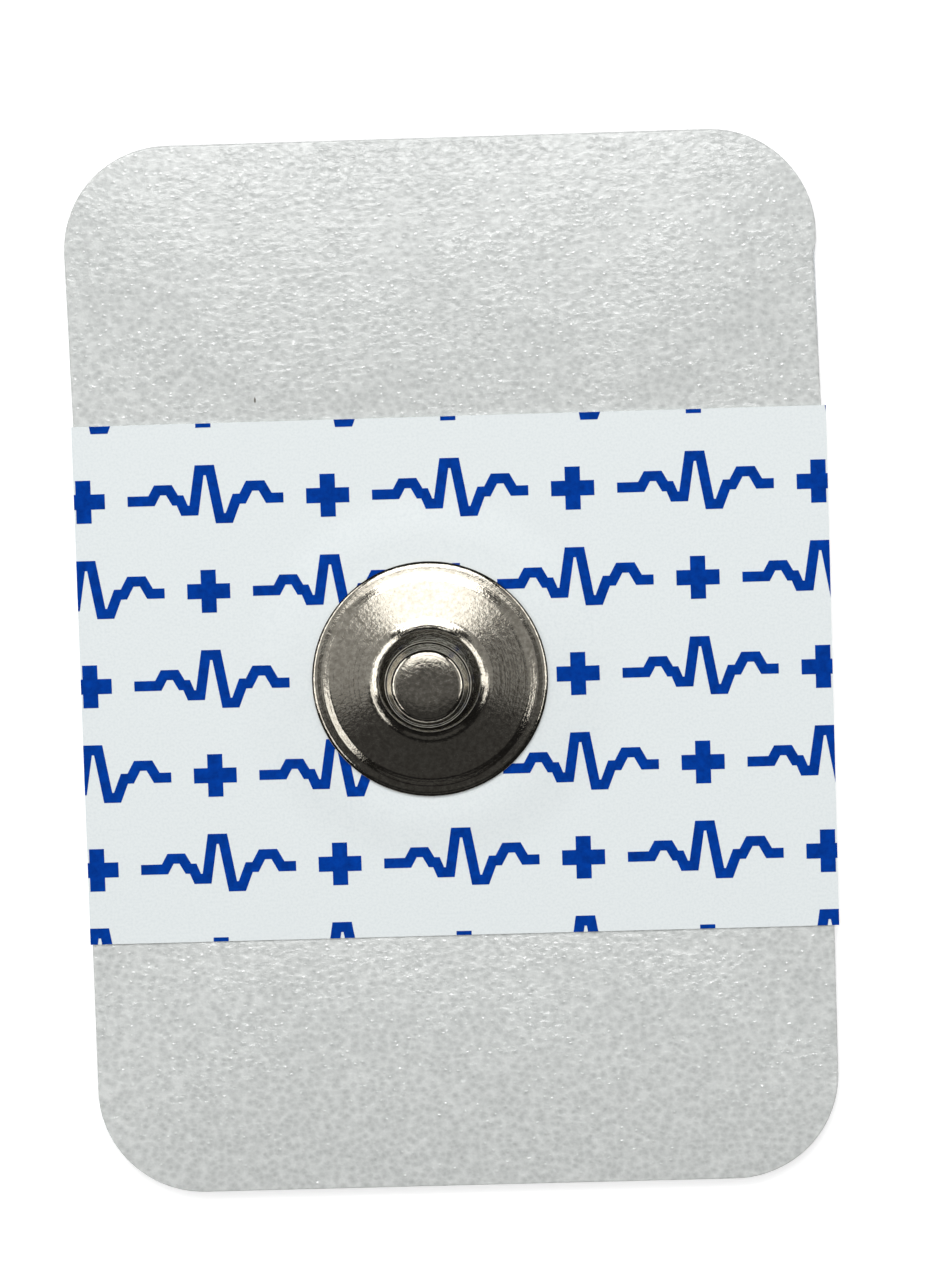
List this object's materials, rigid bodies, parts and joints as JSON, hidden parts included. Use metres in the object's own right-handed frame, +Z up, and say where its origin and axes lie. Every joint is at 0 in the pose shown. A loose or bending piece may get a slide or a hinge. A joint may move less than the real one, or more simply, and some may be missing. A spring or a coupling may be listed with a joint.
{
  "type": "ecg electrode",
  "caption": "Flat foam skin electrode with rounded corners, a printed film strip across it and an off-centre metal snap stud that a monitoring lead clips onto.",
  "frame": {"origin": "on the table under the middle of the foam", "axes": "+Z up through the stud, +Y along the foam's long side towards the end away from the stud, +X across it"},
  "size_m": [0.0357, 0.05, 0.0049],
  "materials": {
    "foam": "closed-cell foam with a fine glinting skin",
    "label_film": "smooth printed film, blue ink",
    "stud_metal": "bright plated pressing with a fine orange-peel grain",
    "sensor_coat": "grey silver chloride coat",
    "gel": "clear wet gel",
    "liner_film": "clear release film"
  },
  "bodies": {
    "root": {"foam_backing": "foam", "top_label": "label_film", "snap_stud": "stud_metal", "sensor_eyelet": "sensor_coat", "gel_pad": "gel", "release_liner": "liner_film"}
  },
  "joints": []
}
